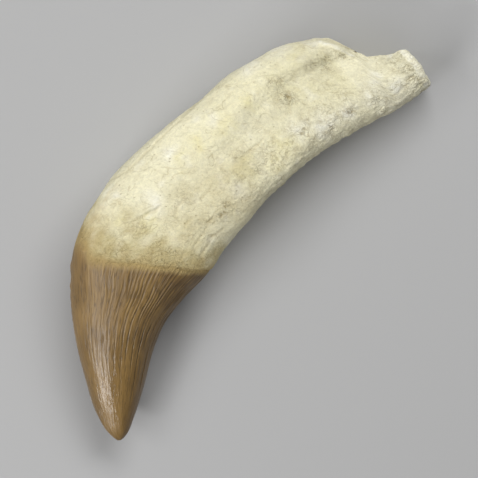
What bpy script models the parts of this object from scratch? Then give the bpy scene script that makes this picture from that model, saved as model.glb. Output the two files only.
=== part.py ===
"""Fossil front tooth of Basilosaurus, lying on its side as one solid piece.

The crown's tip points to -X and the broken root end to +X. The tooth curves in the XY plane, with its
outer edge to +Y and its inner edge to -Y. Z is up from the surface that it lies on. The origin is on that
surface, under the middle of the tooth. Sizes are in millimetres until the mesh is made.
"""

import math
from collections import namedtuple

import bmesh
import bpy
import numpy as np
from mathutils import Vector, noise

MM = 0.001

# Main form
# Sections run from tip to root end. Each has its two edges seen from above, half its depth, how far its
# underside is lifted off the surface (below 0 it is worn flat there), and the depth of the hollow on top.
Section = namedtuple("Section", "outer inner half_depth lift hollow")
SECTIONS = (
    Section((-81.0, -7.9), (-78.0, -11.5), 2.2, 9.0, 0.0),
    Section((-79.1, -2.2), (-73.5, -9.6), 3.8, 7.0, 0.0),
    Section((-76.2, 4.3), (-66.5, -7.0), 6.2, 4.6, 0.0),
    Section((-71.2, 11.8), (-58.5, -3.5), 8.4, 2.8, 0.0),
    Section((-65.1, 20.3), (-49.0, 1.0), 10.4, 1.4, 0.0),
    Section((-58.0, 28.6), (-39.3, 3.9), 12.2, 0.5, 0.0),
    Section((-50.5, 35.5), (-29.2, 4.3), 13.6, -0.3, 0.0),
    Section((-39.6, 43.2), (-18.6, 3.8), 14.8, -0.3, 0.0),
    Section((-23.5, 47.5), (-6.6, 5.4), 15.6, 0.2, 0.0),
    Section((-8.0, 48.0), (4.2, 4.5), 16.0, -0.3, 0.4),
    Section((8.1, 46.3), (15.0, 5.0), 16.0, -0.4, 1.0),
    Section((23.6, 42.5), (26.0, 3.0), 15.6, 0.2, 1.6),
    Section((38.5, 40.4), (37.0, 1.0), 15.0, 0.4, 2.0),
    Section((51.9, 35.5), (47.5, -2.2), 13.8, 0.0, 3.0),
    Section((63.5, 28.0), (57.6, -5.8), 12.0, -0.4, 3.8),
    Section((74.5, 21.5), (67.5, -10.0), 10.2, -0.4, 2.6),
    Section((86.0, 16.5), (78.5, -13.0), 9.0, -0.2, 1.2),
)
NECK = 7.0  # the section, counted from 0, where the crown meets the root
ROOT_END = 16.0
TIP_ROUND = 1.0  # the first sections, over which the tip rounds off
SQUARENESS = 0.06  # how far the root's section bulges at its four shoulders, as a share of its radius
TYPICAL_RATIO = 0.68  # depth over width, which spaces the points round a section evenly

# The neck line, where the enamel ends: place across the tooth (-1 inner edge, 1 outer edge) and shift
# along it, towards the root
NECK_LINE = ((-1.0, 1.5), (-0.6, -0.8), (0.0, -2.2), (0.7, -4.4), (0.88, 0.0), (1.0, 6.0))
SECTION_SPACING = 13.0  # between sections near the neck
NECK_SHIFT_REACH = 1.2  # how far from the neck the shift fades out, in sections
NECK_STEP = 0.4  # how far the root stands proud of the enamel
NECK_STEP_LENGTH = 0.12  # in sections

# Enamel ridges and the keel along the crown's outer edge
RIDGES = 60
RIDGE_HEIGHT = 0.45
RIDGES_START = 1.8  # they fade in from the smooth tip, in sections
RIDGES_FULL = 4.5
KEEL_HEIGHT = 0.3
KEEL_HALF_ANGLE = 0.16

# Relief of the root
# Places across, -1 at the inner edge and 1 at the outer one, between which the hollow's sides rise
HOLLOW_OUTER_WALL = (0.35, 0.68)
HOLLOW_INNER_SIDE = (-0.6, -0.1)
HOLLOW_SHIFT = ((9.0, -0.6), (10.5, -0.4), (11.5, -0.2), (12.5, -0.15), (14.0, 0.0))  # section, shift across
LUMP_HEIGHT = 0.9
LUMP_SIZE = 13.0

# The broken outer corner of the root end: section, and width that is left from the inner edge
BREAK_EDGE = (
    (14.1, 36.0),
    (14.3, 33.2),
    (14.45, 32.3),
    (14.6, 30.0),
    (14.75, 27.2),
    (14.9, 22.8),
    (15.0, 20.4),
    (15.25, 18.3),
    (15.5, 16.4),
    (15.75, 15.4),
    (16.0, 14.3),
)
BREAK_ROUND = 1.0  # radius of the worn edge round the break
LIP_AT, LIP_LENGTH, LIP_DROP = 14.65, 0.3, 2.2  # the upper wall is broken lower here
CAVITY_AT, CAVITY_LENGTH, CAVITY_DEPTH, CAVITY_WIDTH = 15.2, 0.4, 3.2, 0.42
END_TILT = math.radians(4.0)
END_BULGE, END_BULGE_ACROSS, END_BULGE_WIDTH = 1.0, -0.5, 0.4  # the end's outline, seen from above
BREAK_ROUGHNESS = 0.5
END_RINGS = ((0.95, 0.5), (0.72, 0.3), (0.4, -0.3))  # share of the outline, and how far it stands out

# Points of the mesh
FINE_POINTS = 600  # of each ring of the root before its points are spaced evenly
ROOT_POINTS = 60
CROWN_POINTS = 2 * RIDGES
NOSE_ROWS = 4
CROWN_ROWS = 15
ROOT_ROWS = 36

ENAMEL_COLOUR = (0.215, 0.135, 0.062, 1.0)
ROOT_COLOUR = (0.70, 0.65, 0.43, 1.0)


def smooth_curve(points, places):
    """A curve through points numbered 0, 1, 2..., read at places (an array of any shape)."""
    points = np.asarray(points, float).reshape(len(points), -1)
    ends = 2 * points[[0, -1]] - points[[1, -2]]
    held = np.vstack([ends[:1], points, ends[1:]])
    first = np.clip(places.astype(int), 0, len(points) - 2)
    u = (places - first)[..., None]
    a, b, c, d = (held[first + step] for step in range(4))
    return b + 0.5 * u * (c - a + u * (2 * a - 5 * b + 4 * c - d + u * (3 * (b - c) + d - a)))


def ease(low, high, value):
    """0 up to low, 1 from high on, and smooth between them."""
    share = np.clip((value - low) / (high - low), 0, 1)
    return share * share * (3 - 2 * share)


def bump(value, middle, reach):
    return np.exp(-(((value - middle) / reach) ** 2))


def soft_min(a, b, radius):
    """The smaller of a and b, with the corner between them rounded."""
    share = np.clip(0.5 + 0.5 * (b - a) / radius, 0, 1)
    return b + (a - b) * share - radius * share * (1 - share)


def noise_at(points, size, seed):
    """Smooth noise of about -1 to 1, whose lumps are size millimetres across."""
    shift = Vector((17.0 * seed, 5.0 * seed, 0.0))
    flat = [noise.noise(Vector(p) / size + shift) for p in points.reshape(-1, 3)]
    return np.reshape(flat, points.shape[:-1])


def ring_angles(count):
    """Angles round a section, from its outer edge over the top, spaced evenly along its outline."""
    fine = np.linspace(0, 2 * math.pi, 2001)
    step = np.hypot(np.sin(fine), TYPICAL_RATIO * np.cos(fine))
    length = np.concatenate([[0], np.cumsum((step[1:] + step[:-1]) / 2)])
    return np.interp(np.arange(count) / count * length[-1], length, fine)


def shifted_places(rows, angles):
    """The place along the tooth of each point of each row, where the rows follow the neck line."""
    across, shift = np.transpose(NECK_LINE)
    line = np.interp(np.cos(angles), across, shift) / SECTION_SPACING
    return rows[:, None] + bump(rows, NECK, NECK_SHIFT_REACH)[:, None] * line


def enamel_relief(rows, angles):
    """Height of the ridges and the keel over the crown. Two points to a ridge give a crest and a groove."""
    wave = np.where(np.arange(len(angles)) % 2 == 0, 0.5, -0.5)
    start = ease(RIDGES_START, RIDGES_FULL, rows)[:, None]
    near_edge = 1 - 0.7 * bump(np.abs(np.cos(angles)), 1.0, 0.12)
    ridges = RIDGE_HEIGHT * start * near_edge * wave
    keel = KEEL_HEIGHT * bump(np.sin(angles), 0.0, KEEL_HALF_ANGLE) * (np.cos(angles) > 0)
    return ridges + ease(1.5, 4.0, rows)[:, None] * (1 - ease(6.0, 7.0, rows)[:, None]) * keel


def clip_to_break(across, width, depth_share, place):
    """Cuts the outer corner of the root end back to the broken edge, in each section's own plane."""
    at, left = np.transpose(BREAK_EDGE)
    kept = np.interp(place, at, left)
    kept = kept - LIP_DROP * bump(place, LIP_AT, LIP_LENGTH) * ease(0.15, 0.4, depth_share)
    cavity = bump(place, CAVITY_AT, CAVITY_LENGTH) * bump(depth_share, 0.0, CAVITY_WIDTH)
    kept = kept - CAVITY_DEPTH * cavity
    limit = 2 * kept / width - 1
    broken = place > at[0] - 0.1
    return np.where(broken, soft_min(across, limit, 2 * BREAK_ROUND / width), across)


def surface(rows, angles, relief=0.0):
    """Points of the tooth's surface: one ring for each place along it, with a point at each angle."""
    place = shifted_places(rows, angles)
    table = [(*s.outer, *s.inner, s.half_depth, s.lift, s.hollow) for s in SECTIONS]
    values = smooth_curve(table, np.clip(place, 0, ROOT_END))
    outer, inner, half_depth, lift, hollow = (
        values[..., 0:2],
        values[..., 2:4],
        values[..., 4],
        values[..., 5],
        values[..., 6],
    )
    middle = (outer + inner) / 2
    half_width = np.linalg.norm(outer - inner, axis=-1) / 2
    sideways = (outer - inner) / (2 * half_width[..., None])
    onwards = np.stack([sideways[..., 1], -sideways[..., 0]], axis=-1)

    nose = np.sqrt(1 - (1 - np.clip(place / TIP_ROUND, 0, 1)) ** 2)
    rooty = ease(NECK - 1, NECK + 1, place)
    shoulder = 1 + SQUARENESS * rooty * (1 - np.cos(4 * angles))
    across, up = nose * np.cos(angles) * shoulder, nose * np.sin(angles) * shoulder
    normal_across = np.cos(angles) / half_width
    normal_up = np.sin(angles) / half_depth
    length = np.hypot(normal_across, normal_up)
    normal_across, normal_up = normal_across / length, normal_up / length

    rough = np.concatenate([middle + across[..., None] * (outer - inner) / 2, (up * half_depth)[..., None]], -1)
    raised = LUMP_HEIGHT * noise_at(rough, LUMP_SIZE, 1) * rooty + relief
    step = ease(NECK - NECK_STEP_LENGTH, NECK + NECK_STEP_LENGTH, rows)[:, None]
    raised = raised + NECK_STEP * step * (1 - ease(NECK, NECK + 2, rows)[:, None])
    across = across + raised * normal_across / half_width
    up = up + raised * normal_up / half_depth
    across = clip_to_break(across, 2 * half_width, up, place)
    beside = across - np.interp(place, *np.transpose(HOLLOW_SHIFT))
    dip = hollow / half_depth * (1 - ease(*HOLLOW_OUTER_WALL, beside)) * ease(*HOLLOW_INNER_SIDE, beside)
    up = np.where(up > 0, up * (1 - dip), up)

    height = lift + half_depth * (1 + up)
    lean = END_BULGE * bump(across, END_BULGE_ACROSS, END_BULGE_WIDTH) - math.tan(END_TILT) * half_depth * up
    lean = lean * ease(ROOT_END - 1.5, ROOT_END, place)
    flat = middle + across[..., None] * sideways * half_width[..., None] + lean[..., None] * onwards
    return np.concatenate([flat, np.maximum(height, 0)[..., None]], axis=-1)


def respaced(ring, count):
    """The same closed ring with count points, evenly spaced."""
    closed = np.vstack([ring, ring[:1]])
    length = np.concatenate([[0], np.cumsum(np.linalg.norm(np.diff(closed, axis=0), axis=1))])
    at = np.arange(count) / count * length[-1]
    return np.transpose([np.interp(at, length, column) for column in closed.T])


def end_face(outline):
    """Rings that close the broken root end, and the point in the middle of them."""
    middle = outline.mean(axis=0)
    inner, outer = np.array(SECTIONS[-1].inner), np.array(SECTIONS[-1].outer)
    sideways = (outer - inner) / np.linalg.norm(outer - inner)
    outwards = np.array([sideways[1], -sideways[0], 0.0])
    rings = []
    for share, stand_out in END_RINGS:
        ring = middle + (outline - middle) * share
        rough = stand_out + BREAK_ROUGHNESS * noise_at(ring, 4.0, 2)
        rings.append(ring + rough[:, None] * outwards)
    return rings, middle + END_RINGS[-1][1] * outwards


def closed_pairs(ring):
    return zip(ring, ring[1:] + ring[:1])


def bridge(mesh, first, second):
    """Four-sided faces between two rings with the same number of points."""
    for (a, b), (c, d) in zip(closed_pairs(first), closed_pairs(second)):
        mesh.faces.new((a, b, d, c))


def bridge_neck(mesh, crown, root):
    """Five-sided faces from the crown's last ring to the root's first, which has half as many points."""
    for index, (a, b) in enumerate(closed_pairs(root)):
        c, d, e = (crown[(2 * index + step) % len(crown)] for step in (0, 1, 2))
        mesh.faces.new((c, d, e, b, a))


def fan(mesh, ring, point, tip_side):
    for a, b in closed_pairs(ring):
        mesh.faces.new((b, a, point) if tip_side else (a, b, point))


def tooth_mesh():
    nose = TIP_ROUND * (1 - np.cos(np.linspace(0, math.pi / 2, NOSE_ROWS + 1)[1:]))
    crown_rows = np.concatenate([nose, np.linspace(TIP_ROUND, NECK - NECK_STEP_LENGTH, CROWN_ROWS + 1)[1:]])
    root_rows = np.linspace(NECK + NECK_STEP_LENGTH, ROOT_END, ROOT_ROWS)
    angles = ring_angles(CROWN_POINTS)
    crown = surface(crown_rows, angles, enamel_relief(crown_rows, angles))
    root = np.array([respaced(ring, ROOT_POINTS) for ring in surface(root_rows, ring_angles(FINE_POINTS))])
    end_rings, end_point = end_face(root[-1])
    first = SECTIONS[0]
    tip = np.array([*(np.add(first.outer, first.inner) / 2), first.lift + first.half_depth])

    solid = np.concatenate([crown.reshape(-1, 3), root.reshape(-1, 3)])
    shift = -(solid.min(axis=0) + solid.max(axis=0)) / 2
    shift[2] = 0

    mesh = bmesh.new()

    def corners(points):
        return [mesh.verts.new(Vector((p + shift) * MM)) for p in points]

    crown_rings = [corners(ring) for ring in crown]
    root_rings = [corners(ring) for ring in [*root, *end_rings]]
    fan(mesh, crown_rings[0], corners([tip])[0], tip_side=True)
    for rings in (crown_rings, root_rings):
        for first, second in zip(rings, rings[1:]):
            bridge(mesh, first, second)
    enamel_faces = len(mesh.faces) - ROOT_POINTS * (len(root_rings) - 1)
    bridge_neck(mesh, crown_rings[-1], root_rings[0])
    fan(mesh, root_rings[-1], corners([end_point])[0], tip_side=False)
    for index, face in enumerate(mesh.faces):
        face.smooth = True
        face.material_index = 0 if index < enamel_faces else 1
    bmesh.ops.recalc_face_normals(mesh, faces=mesh.faces)
    return mesh


def finish(name, colour, roughness):
    material = bpy.data.materials.new(name)
    material.use_nodes = True
    shader = material.node_tree.nodes["Principled BSDF"]
    shader.inputs["Base Color"].default_value = colour
    shader.inputs["Roughness"].default_value = roughness
    shader.inputs["Metallic"].default_value = 0.0
    return material


def main():
    for old in list(bpy.data.objects):
        bpy.data.objects.remove(old)
    mesh = tooth_mesh()
    data = bpy.data.meshes.new("tooth")
    mesh.to_mesh(data)
    mesh.free()
    data.materials.append(finish("enamel", ENAMEL_COLOUR, 0.35))
    data.materials.append(finish("root", ROOT_COLOUR, 0.8))
    tooth = bpy.data.objects.new("tooth", data)
    bpy.context.scene.collection.objects.link(tooth)


main()
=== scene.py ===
"""A fossil front tooth of Basilosaurus, lying on its side on a pale floor under soft studio light.

Lengths in the tables and named values are millimetres, except where a comment says otherwise. The tooth's tip
points to -X, its broken root end to +X and the outer edge of its curve to +Y. A place along the tooth is
counted in sections from the tip, and a place round it runs from 0 at the outer edge to 0.5 at the inner one.
"""

import math
from collections import namedtuple

import bpy
import numpy as np
from bpy.props import FloatProperty, FloatVectorProperty, IntProperty, PointerProperty
from mathutils import Matrix, Vector, noise


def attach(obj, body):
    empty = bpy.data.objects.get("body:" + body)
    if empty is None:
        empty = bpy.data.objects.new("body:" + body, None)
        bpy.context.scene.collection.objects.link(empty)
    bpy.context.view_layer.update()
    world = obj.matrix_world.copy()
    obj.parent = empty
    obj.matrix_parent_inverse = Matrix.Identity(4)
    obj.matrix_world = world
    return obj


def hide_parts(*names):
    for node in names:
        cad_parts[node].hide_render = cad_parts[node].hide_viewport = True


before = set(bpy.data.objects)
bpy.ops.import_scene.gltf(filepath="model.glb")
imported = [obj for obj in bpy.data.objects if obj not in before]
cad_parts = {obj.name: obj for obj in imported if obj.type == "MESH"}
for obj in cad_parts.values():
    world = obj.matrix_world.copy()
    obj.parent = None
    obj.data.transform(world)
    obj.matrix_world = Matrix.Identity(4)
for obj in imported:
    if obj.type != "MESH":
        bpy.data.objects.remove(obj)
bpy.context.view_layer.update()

bl_info = {
    "name": "Fossil whale tooth",
    "version": (1, 0, 0),
    "blender": (4, 5, 0),
    "location": "3D View > Sidebar > Fossil tooth",
    "description": "Adds a fossil Basilosaurus tooth and a small photo studio for it",
    "category": "Add Mesh",
}

MM = 0.001

# The main form, from tip to root end: each section's two edges seen from above, half its depth, how far its
# underside is lifted off the floor (below 0 it is worn flat there), and the depth of the hollow on top
Section = namedtuple("Section", "outer inner half_depth lift hollow")
SECTIONS = (
    Section((-81.0, -7.9), (-78.0, -11.5), 2.2, 9.0, 0.0),
    Section((-79.1, -2.2), (-73.5, -9.6), 3.8, 7.0, 0.0),
    Section((-76.2, 4.3), (-66.5, -7.0), 6.2, 4.6, 0.0),
    Section((-71.2, 11.8), (-58.5, -3.5), 8.4, 2.8, 0.0),
    Section((-65.1, 20.3), (-49.0, 1.0), 10.4, 1.4, 0.0),
    Section((-58.0, 28.6), (-39.3, 3.9), 12.2, 0.5, 0.0),
    Section((-50.5, 35.5), (-29.2, 4.3), 13.6, -0.3, 0.0),
    Section((-39.6, 43.2), (-18.6, 3.8), 14.8, -0.3, 0.0),
    Section((-23.5, 47.5), (-6.6, 5.4), 15.6, 0.2, 0.0),
    Section((-8.0, 48.0), (4.2, 4.5), 16.0, -0.3, 0.4),
    Section((8.1, 46.3), (15.0, 5.0), 16.0, -0.4, 1.0),
    Section((23.6, 42.5), (26.0, 3.0), 15.6, 0.2, 1.6),
    Section((38.5, 40.4), (37.0, 1.0), 15.0, 0.4, 2.0),
    Section((51.9, 35.5), (47.5, -2.2), 13.8, 0.0, 3.0),
    Section((63.5, 28.0), (57.6, -5.8), 12.0, -0.4, 3.8),
    Section((74.5, 21.5), (67.5, -10.0), 10.2, -0.4, 2.6),
    Section((86.0, 16.5), (78.5, -13.0), 9.0, -0.2, 1.2),
)
NECK = 7.0  # the section, counted from 0, where the crown meets the root
ROOT_END = 16.0
TIP_ROUND = 1.0  # the first sections, over which the tip rounds off
SQUARENESS = 0.06  # how much wider the root's sections are between their top, bottom and edges
INNER_SHOULDER = 0.05  # how much fuller the root is at the upper shoulder towards the inner edge
INNER_SHOULDER_AT, INNER_SHOULDER_REACH = math.radians(135), 0.55
SECTION_SPACING = 13.0  # about the distance between two sections of the root

# The neck line: place across, from -1 at the inner edge to 1 at the outer one, and shift towards the root end
NECK_LINE = ((-1.0, 1.5), (-0.6, -0.8), (0.0, -2.2), (0.7, -4.4), (0.88, 0.0), (1.0, 6.0))
NECK_SHIFT_REACH = 1.2  # in sections

# The hollow's two sides, as places across, and for some sections how far the hollow shifts across
HOLLOW_OUTER_WALL = (0.35, 0.68)
HOLLOW_INNER_SIDE = (-0.6, -0.1)
HOLLOW_SHIFT = ((9.0, -0.6), (10.5, -0.4), (11.5, -0.2), (12.5, -0.15), (14.0, 0.0))

# The broken outer corner of the root end: section, and width that is left from the inner edge
BREAK_EDGE = (
    (14.1, 36.0), (14.3, 33.2), (14.45, 32.3), (14.6, 30.0), (14.75, 27.2), (14.9, 22.8),
    (15.0, 20.4), (15.25, 18.3), (15.5, 16.4), (15.75, 15.4), (16.0, 14.3),
)
BREAK_ROUND = 0.45
BREAK_START = BREAK_EDGE[0][0] - 0.1

# The ledge at the top of the break and the cavity in its middle: place and length along the tooth in
# sections, depth, and where each lies in the tooth's height, from 0 in the middle to 1 on top
LEDGE_AT, LEDGE_LENGTH, LEDGE_DEPTH, LEDGE_HEIGHTS = 14.65, 0.3, 2.2, (0.15, 0.4)
CAVITY_AT, CAVITY_LENGTH, CAVITY_DEPTH, CAVITY_HEIGHT = 15.2, 0.4, 3.2, 0.42

END_TILT = math.radians(4.0)
END_TILT_REACH = 1.5  # sections over which the tilt begins
END_BULGE, END_BULGE_ACROSS, END_BULGE_WIDTH = 1.0, -0.5, 0.4  # the end's outline, seen from above
END_SHARES = np.linspace(0.9, 0.1, 9)  # the sizes of the end face's rings, as shares of its outline
END_RIM, END_RIM_SHARE = 0.8, 0.85  # how far the break stands proud just inside its outline
END_HOLLOW, END_HOLLOW_POWER = 1.0, 0.7
END_FACE_MASKS = {"chalk_and_highlight": 0.7}  # the end face's masks, where they aren't 0

# Rows and columns of the fine mesh. The columns of a ridge run over its groove's depth in turn
COLUMNS_PER_RIDGE = 4
GROOVE_PROFILE = (1.0, 0.28, 0.0, 0.28)
RING_POINTS = 720
NOSE_ROWS, CROWN_ROWS, NECK_ROWS, ROOT_ROWS = 9, 56, 24, 168
NECK_ROWS_REACH = 0.22  # in sections
MEAN_RADIUS = 17.5  # of a section, for coordinates on the straightened tooth
UPPER_SIDE = (0.0, 0.25)  # heights in the section over which the upper side's marks come in

# Layers of smooth noise: height, size of the lumps (one, or one each across, across and along) and seed
Layer = namedtuple("Layer", "height size seed")
ROOT_LUMPS = Layer(0.9, 13.0, 1)
RIDGE_WANDER = Layer(0.42, (7.0, 7.0, 14.0), 2)  # its height is in ridges
ENAMEL_SCALLOPS = (Layer(0.03, 1.6, 4), Layer(0.06, 5.0, 5))  # their height is in sections
CROWN_RIPPLES = (Layer(0.06, (2.0, 2.0, 3.0), 8), Layer(0.04, (0.5, 0.5, 6.0), 7))
STAIN_AND_SHADE_UNEVEN = (Layer(0.7, 3.0, 9), Layer(0.5, 1.3, 27))  # their height is a share of its length
FACE_CRUMBS = (Layer(0.45, 2.4, 25), Layer(0.25, 1.1, 26))
END_CRUMBS = (Layer(0.3, 2.2, 19), Layer(0.15, 1.0, 20))

# Layers of the root's surface, whose heights are shares of its Root relief setting
ROOT_DENTS = (Layer(1.0, (6.0, 6.0, 9.0), 10), Layer(0.35, 1.1, 12))
ROOT_BUMPS = Layer(0.35, (2.2, 2.2, 3.0), 11)
ROOT_FIBRES = Layer(0.3, (1.1, 1.1, 10.0), 13)
ROOT_WRINKLES = Layer(0.25, (5.0, 5.0, 8.0), 14)
INNER_CRUMBS = (Layer(1.2, 2.6, 28), Layer(0.6, 1.3, 29))

# Noise of its own along each ridge or groove: height, length of its waves, how far apart two neighbours are
# read in it, and seed
Waves = namedtuple("Waves", "height length apart seed")
RIDGE_WAVES = Waves(0.12, 5.0, 7.3, 3)  # its height is in ridges
GROOVE_WAVES = Waves(1.1, 6.0, 3.1, 6)  # its height is a share of the groove's depth
GROOVE_DEPTH_MEAN, GROOVE_DEPTH_LIMITS = 0.7, (0.05, 1.35)

# Each groove of the enamel starts at its own place along the tooth, between these two
GROOVE_STARTS = (2.4, 6.4)
GROOVE_START_SOFT = 0.7
GOLDEN_SHARE = 0.618  # spreads the starts evenly with no pattern

# The beaded keel: length of a bead, width as a share of the way round, and where it comes in and ends
BEAD_LENGTH, KEEL_WIDTH = 2.1, 0.012
LOW_KEEL, FULL_KEEL, KEEL_END = (1.5, 4.0), (5.2, 6.0), (6.6, 7.0)

# Where the enamel ends. Places and widths along the tooth are in sections
ENAMEL_REACH = 2.5  # how much further the enamel reaches near the outer edge
ENAMEL_REACH_PLACE = (0.1, 0.045)
OUTER_TAN = 5.5  # length of the enamel's end on the outer edge that is tan, not brown
OUTER_TAN_WIDTH = 0.07
OUTER_SIDE = (0.14, 0.32)  # places round the tooth where its outer side ends
BROWN_END, OUTER_BROWN_END = 0.16, 0.08  # before the enamel's end, and more on the outer side
BROWN_FADE, OUTER_BROWN_FADE = 0.26, 0.28
LIP_START = 0.1  # from the end of the enamel to the root's lip
LIP_WIDTH, OUTER_LIP_WIDTH = 0.06, 0.3
LIP_FADE = (0.1, 2.0)
# The tan at the enamel's end fades onto the root over this length: partly a stain, partly painted shade where
# the lip rounds over
STAIN_AND_SHADE_LENGTH = 2.8
INNER_TONE_AND_SHADE_PLACES = (0.27, 0.41)  # places round the tooth over which the crown's inner side darkens, partly its own darker tone and partly painted shade of the flank turned from the lights

# The crumbly inner side of the root, places round and along the tooth
CRUMBLY_ROUND, CRUMBLY_ALONG = (0.24, 0.34), (8.5, 10.5)
# Places along the tooth where the surface is crumbly near the root end, and where the fresh break starts
NEAR_END, END_SMOOTHER, WORN_END, FRESH_BREAK = (15.1, 15.7), (15.7, 15.85), (15.0, 15.7), (15.76, 15.86)

# Marks on the upper side of the root, each a line of points seen from above
Crack = namedtuple("Crack", "points depth width")
CRACKS = (
    Crack(((-15.5, 48.5), (-9.0, 45.3), (-0.5, 44.5), (9.5, 43.7), (17.0, 43.0), (26.0, 42.0)), 0.21, 0.35),
    Crack(((-19.5, 33.2), (-16.0, 31.2), (-13.0, 29.8), (-10.5, 29.5)), 0.28, 0.40),
    Crack(((-4.0, 25.0), (-7.5, 25.0), (-10.0, 23.5)), 0.28, 0.40),
    Crack(((-7.0, 19.0), (-10.0, 19.5), (-11.5, 18.5)), 0.28, 0.40),
    Crack(((6.0, 21.0), (2.0, 20.5), (0.0, 21.0)), 0.21, 0.35),
    Crack(((1.0, 14.5), (-4.0, 14.0), (-8.0, 13.0), (-12.5, 13.0)), 0.154, 0.35),
    Crack(((-2.5, 9.0), (-7.5, 10.0), (-12.5, 9.5), (-15.5, 8.5)), 0.196, 0.40),
    Crack(((28.0, 18.0), (25.0, 18.2), (21.0, 19.0)), 0.245, 0.35),
    Crack(((45.0, 29.0), (45.5, 25.0), (44.5, 20.5), (42.5, 19.0), (40.5, 16.5)), 0.21, 0.40),
    Crack(((57.5, 29.0), (61.0, 28.2), (64.0, 28.0)), 0.21, 0.35),
    Crack(((14.5, 12.5), (13.5, 11.0), (12.5, 9.5)), 0.21, 0.35),
    Crack(((66.4, 25.5), (68.5, 21.3), (70.0, 17.3), (70.6, 13.8)), 0.63, 0.90),
    Crack(((-5.0, 14.5), (-1.5, 13.5), (1.5, 11.0)), 0.175, 0.35),
)
# Brown in the cracks and, below, in the pits: partly dirt, partly painted shade in these hollows
CRACK_DIRT_AND_SHADE = 0.28
CRACK_SIDES, CRACK_SIDES_AT = 0.3, 2.2  # its raised sides, as a share of its depth, and their place in widths
MARK_WANDER, MARK_WANDER_SIZE = 0.5, 2.5

# Pits and nodules on the upper side of the root: place seen from above, and radius
PIT_DEPTH, PIT_DIRT_AND_SHADE = 0.42, 0.3
PIT_RIM, PIT_RIM_SIZE = 0.12, 1.9
NODULE_HEIGHT = 0.4
PITS = (
    (58, 21, 0.7), (61.5, 19.5, 0.6), (45.5, 26.5, 0.6), (45, 22, 0.7), (43, 23, 0.7), (44, 20.5, 0.7),
    (41, 23.5, 0.7), (66.5, 14.5, 0.4), (70.5, 8.5, 0.4), (28, 26, 0.45), (18.5, 27, 0.4), (15, 33, 0.4),
    (39, 5, 0.8), (42.5, 11, 0.6), (39.5, 9.5, 0.6), (26, 12.5, 0.6), (-2.5, 42, 0.4), (-11, 39.5, 0.4),
    (-31.5, 32, 0.6), (-18.5, 19, 0.6), (-26.5, 18, 0.5), (77.5, 0.5, 0.7), (60.5, 16, 0.6),
    (68, 12.5, 0.5),
)
NODULES = (
    (63, 20, 0.7), (65.5, 17, 0.6), (63, 17.5, 0.6), (3, 42.5, 0.6), (-38.5, 39.5, 0.6),
    (78.5, -3.5, 0.9), (74.5, -4.5, 0.8), (75.5, -8.5, 0.9), (75, -1.5, 0.7), (41.5, 25, 0.8),
)
FLAKE = ((-18.5, 33.0), (-12.5, 31.2))  # a raised flake over the second crack
FLAKE_HEIGHT, FLAKE_WIDTH = 0.6, 0.9
BREAK_RIM = ((64.8, 24.2), (66.6, 20.4), (67.8, 16.6), (68.6, 13.2))  # a crisp rim inside the broken notch
BREAK_RIM_HEIGHT, BREAK_RIM_WIDTH = 0.7, 0.75

# Patches of colour and of pits, whose outlines wander: place seen from above, and radius
PATCH_WANDER, PATCH_WANDER_SIZE = 2.5, 4.0
YELLOW_PATCHES = (
    (-18.5, 28, 4), (-23, 35.5, 3), (6, 34, 3), (13, 32.5, 3), (23, 32, 5), (34.5, 29, 4), (15, 16, 5),
    (31.5, 11.5, 5), (24.5, 9.5, 3), (55.5, 28, 4.5), (78.5, -9.5, 2.5),
)
# The patches at (55, 35) and (45, 39) on the upper rim are painted highlight; the others are chalky bone
CHALK_AND_RIM_HIGHLIGHT_PATCHES = (
    (-10, 32.5, 3.5), (-17, 44, 2), (4.5, 38, 2.5), (22, 34.5, 2.5), (-33, 40, 1.5), (38, 11, 3.5),
    (45, 5.5, 4), (10, 13.5, 3.5), (53, 2.5, 2.5), (68, 2, 3.5), (70.5, -4.5, 3.5), (62, -0.5, 3),
    (77.5, 3, 2), (55, 35, 5), (45, 39, 5), (64, 27, 3),
)
# The greyish patches are painted shade, in the shallow trough and on the hollow's wall
TROUGH_SHADE_PATCHES = (
    (28.5, 25, 4), (33, 22, 4), (38, 21, 3.5), (-1.5, 11.5, 4.5), (-7.5, 15, 4), (56.5, 21, 4.5),
)
PITTED_PATCHES = (
    (61.5, 19, 3), (66.5, 16.5, 2), (57.5, 21.5, 2), (45, 25, 3), (43.5, 21, 3), (70, -5, 3), (62, -3, 3),
    (54, 1.5, 3), (46, 4.5, 2.5), (38, 10, 2.5), (-27, 36, 3), (-28, 27, 3), (-22, 18, 3), (19, 20, 2.5),
    (2, 13, 3.5),
)
DUSTY_PATCHES = (
    (-27.2, 40.2, 5), (-29.1, 32.1, 4), (-24, 23.4, 4), (-12.9, 15.3, 7), (-5.8, 16.7, 6),
    (-11.2, 22.1, 4.5), (6.5, 19.7, 8), (-3, 25, 5), (6, 12, 8), (16, 18, 5),
)

# Noise patterns of the material: size of their features, and scale along the tooth, under 1 where they are
# drawn out. Real grain and striae are finer than a pixel of the picture, so they are coarser here
Pattern = namedtuple("Pattern", "size stretch detail roughness distortion", defaults=(0.5, 0.0))
PATTERNS = {
    "zones": Pattern(13.0, 1.0, 2.0),
    "streaks": Pattern(1.1, 0.2, 3.0),
    "strokes": Pattern(0.6, 0.2, 2.0),
    "furrows": Pattern(1.5, 0.08, 1.0),
    "striae": Pattern(0.5, 0.12, 3.0),
    "clouds": Pattern(3.0, 1.0, 5.0, 0.65),
    "mottle": Pattern(0.9, 1.0, 4.0, 0.75),
    "grain": Pattern(0.7, 1.0, 5.0, 0.6),
    "pore groups": Pattern(4.0, 1.0, 2.0),
    "worm furrows": Pattern(1.6, 1.0, 2.0, 0.5, 0.6),
    "hairlines": Pattern(6.0, 1.0, 2.0, 0.5, 0.6),
}
CELL_PATTERNS = {"pores": 1.4, "nodules": 1.7}

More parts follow.
